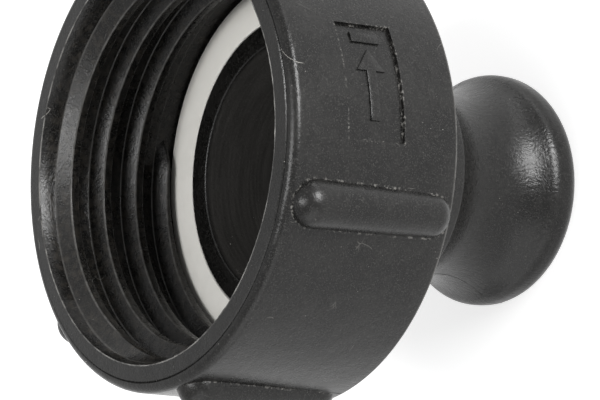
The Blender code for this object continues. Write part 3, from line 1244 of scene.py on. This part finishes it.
@dataclass(frozen=True)
class PaleSeal:
    """Matt pale rubber, slightly chalky and faintly soiled."""

    effects: SharedEffects
    colour: tuple = (0.74, 0.725, 0.68, 1.0)
    chalky: tuple = (0.78, 0.765, 0.72, 1.0)
    soil: tuple = (0.30, 0.285, 0.25, 1.0)
    soil_share: float = 0.35
    dust_amount: float = 0.12
    roughness: float = 0.58
    grain_per_metre: float = 1700.0
    grain_height: float = 0.000015

    def make(self) -> Material:
        """Builds the material."""
        sheet = FinishSheet("pale_seal", self.effects, self.grain_per_metre)
        colour = sheet.blend(sheet.grain["Mottle"], self.colour, self.chalky)
        soiled = sheet.both(sheet.dust(self.dust_amount), self.soil_share)
        rough = sheet.times_plus(sheet.grain["Mottle"], 0.1, self.roughness)
        return sheet.done(
            sheet.blend(soiled, colour, self.soil), rough, sheet.grain["Height"], self.grain_height
        )


@dataclass(frozen=True)
class Lamp:
    """A soft lamp, placed by its direction in the picture: right, up and towards the viewer."""

    name: str
    towards: tuple[float, float, float]
    distance: float
    size: tuple[float, float]
    power: float


@dataclass
class Studio:
    """The floor, the light and the camera at the photograph's viewing angle."""

    aim: Vector = field(default_factory=lambda: Vector((0.00432, -0.00173, 0.04151)))
    azimuth_deg: float = 68.20
    elevation_deg: float = 37.45
    roll_deg: float = 84.25
    distance: float = 0.29025
    lens: float = 113.9
    floor_radius: float = 6.0
    floor_colour: tuple = (0.8, 0.8, 0.8, 1.0)
    floor_seen: float = 0.6
    world_strength: float = 0.3
    world_seen: float = 1.0
    lamps: tuple[Lamp, ...] = (
        Lamp("mouth_lamp", (-0.66, 0.10, 0.74), 0.8, (0.28, 0.40), 3.9),
        Lamp("key_lamp", (0.45, 0.50, 0.74), 0.8, (0.42, 0.24), 8.6),
        Lamp("top_lamp", (0.30, 0.95, 0.02), 0.8, (0.7, 0.35), 3.0),
        Lamp("low_lamp", (0.05, -0.85, 0.50), 0.8, (1.1, 0.8), 4.0),
    )

    def back(self) -> Vector:
        """The direction from the aim to the camera."""
        azimuth = math.radians(self.azimuth_deg)
        elevation = math.radians(self.elevation_deg)
        level = math.cos(elevation)
        return Vector((level * math.cos(azimuth), level * math.sin(azimuth), math.sin(elevation)))

    def turn(self) -> Quaternion:
        """The camera's rotation, rolled as the photograph is."""
        roll = Quaternion((0.0, 0.0, 1.0), -math.radians(self.roll_deg))
        return self.back().to_track_quat("Z", "Y") @ roll

    def camera(self) -> None:
        """Places the camera and makes it the scene's."""
        data = bpy.data.cameras.new("camera")
        data.lens = self.lens
        data.clip_start = 0.01
        data.clip_end = 50.0
        obj = bpy.data.objects.new("camera", data)
        obj.location = self.aim + self.back() * self.distance
        obj.rotation_mode = "QUATERNION"
        obj.rotation_quaternion = self.turn()
        bpy.context.scene.collection.objects.link(obj)
        bpy.context.scene.camera = obj

    def light(self) -> None:
        """Hangs the lamps."""
        for lamp in self.lamps:
            data = bpy.data.lights.new(lamp.name, "AREA")
            data.energy = lamp.power
            data.shape = "RECTANGLE"
            data.size, data.size_y = lamp.size
            obj = bpy.data.objects.new(lamp.name, data)
            towards = self.turn() @ Vector(lamp.towards).normalized()
            obj.location = self.aim + towards * lamp.distance
            obj.rotation_mode = "QUATERNION"
            obj.rotation_quaternion = towards.to_track_quat("Z", "Y")
            bpy.context.scene.collection.objects.link(obj)

    def world(self) -> None:
        """A dim room that shows as white behind the part."""
        world = bpy.data.worlds.new("room")
        world.use_nodes = True
        sheet = NodeSheet(world.node_tree)
        background = world.node_tree.nodes["Background"]
        sheet.feed(background.inputs["Color"], (1.0, 1.0, 1.0, 1.0))
        strength = self.seen_strength(sheet, self.world_strength, self.world_seen)
        sheet.feed(background.inputs["Strength"], strength)
        bpy.context.scene.world = world

    @staticmethod
    def seen_strength(sheet: NodeSheet, unseen: float, seen: float) -> NodeSocket:
        """A strength that differs for rays that show the background, straight or in gloss and glass."""
        path = sheet.add("LightPath", {}).outputs
        shows = sheet.either(*(path[f"Is {kind} Ray"] for kind in ("Camera", "Glossy", "Transmission")))
        return sheet.add("MapRange", {"Value": shows, "To Min": unseen, "To Max": seen}).outputs["Result"]

    def floor(self) -> None:
        """A plain pale floor that keeps the part's shadow."""
        shape = bmesh.new()
        bmesh.ops.create_circle(shape, cap_ends=True, segments=64, radius=self.floor_radius)
        floor = to_object(shape, "floor")
        material = new_material("pale_floor")
        sheet = NodeSheet(material.node_tree)
        looks = {
            "Base Color": self.floor_colour,
            "Roughness": 1.0,
            "Specular IOR Level": 0.0,
            "Emission Color": (1.0, 1.0, 1.0, 1.0),
            "Emission Strength": self.seen_strength(sheet, 0.0, self.floor_seen),
        }
        for name, value in looks.items():
            sheet.feed(material.node_tree.nodes["Principled BSDF"].inputs[name], value)
        floor.data.materials.append(material)

    def build(self) -> None:
        """Sets up the whole studio."""
        bpy.context.scene.view_settings.view_transform = "Standard"
        self.camera()
        self.light()
        self.world()
        self.floor()


def dress(piece: Object, material: Material) -> None:
    """Gives a piece its finish, and reports it."""
    piece.data.materials.clear()
    piece.data.materials.append(material)
    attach(piece, "root")
    log.info("%s: %d faces", piece.name, len(piece.data.polygons))


def main() -> None:
    """Builds the part and its studio, and reports each piece."""
    logging.basicConfig(level=logging.INFO, format="%(message)s")
    effects = SharedEffects()
    moulding = AdapterBody()
    black = BlackMoulding(moulding, effects).make()
    body, flash, seam, arrow = moulding.build()
    gasket = FlatGasket().build()
    dress(body, black)
    dress(flash, TornFlash(effects).make())
    dress(seam, black)
    dress(arrow, black)
    dress(gasket, PaleSeal(effects).make())
    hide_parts("adapter_body")
    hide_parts("flat_gasket")
    Studio().build()


if __name__ == "__main__":
    main()
